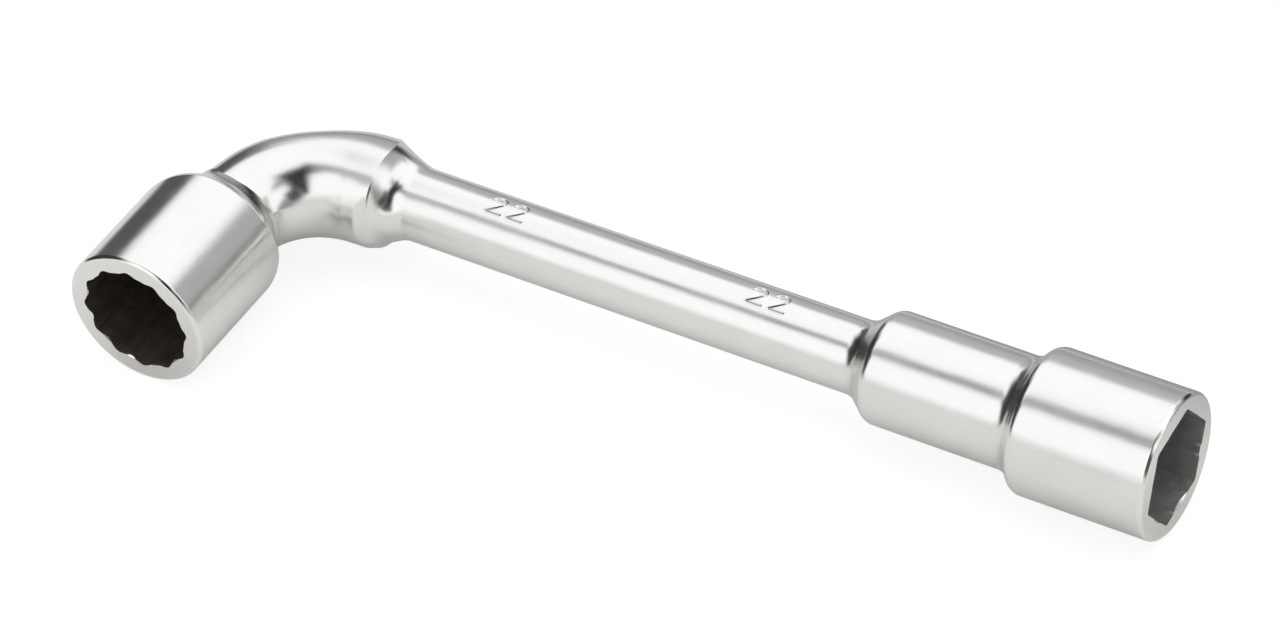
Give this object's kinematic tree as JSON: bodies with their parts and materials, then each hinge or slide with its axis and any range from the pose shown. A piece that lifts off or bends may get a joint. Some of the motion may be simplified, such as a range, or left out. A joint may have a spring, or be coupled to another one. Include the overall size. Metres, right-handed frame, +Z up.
{
  "type": "angled socket wrench",
  "caption": "L-shaped 22 mm socket wrench in satin chrome: twelve-point socket on the bored-through short arm, six-point socket on the long arm.",
  "frame": {"origin": "centre of the footprint, on the surface that the wrench lies on", "axes": "+X along the long arm, towards the six-point socket's mouth; the short arm points to -Y; +Z up, square to the plane of both arms"},
  "size_m": [0.2236, 0.0714, 0.0317],
  "materials": {
    "satin_chrome": "satin"
  },
  "bodies": {
    "root": {"twelve_point_head": "satin_chrome", "elbow": "satin_chrome", "collar": "satin_chrome", "shank": "satin_chrome", "sleeve": "satin_chrome", "hex_head": "satin_chrome"}
  },
  "joints": []
}
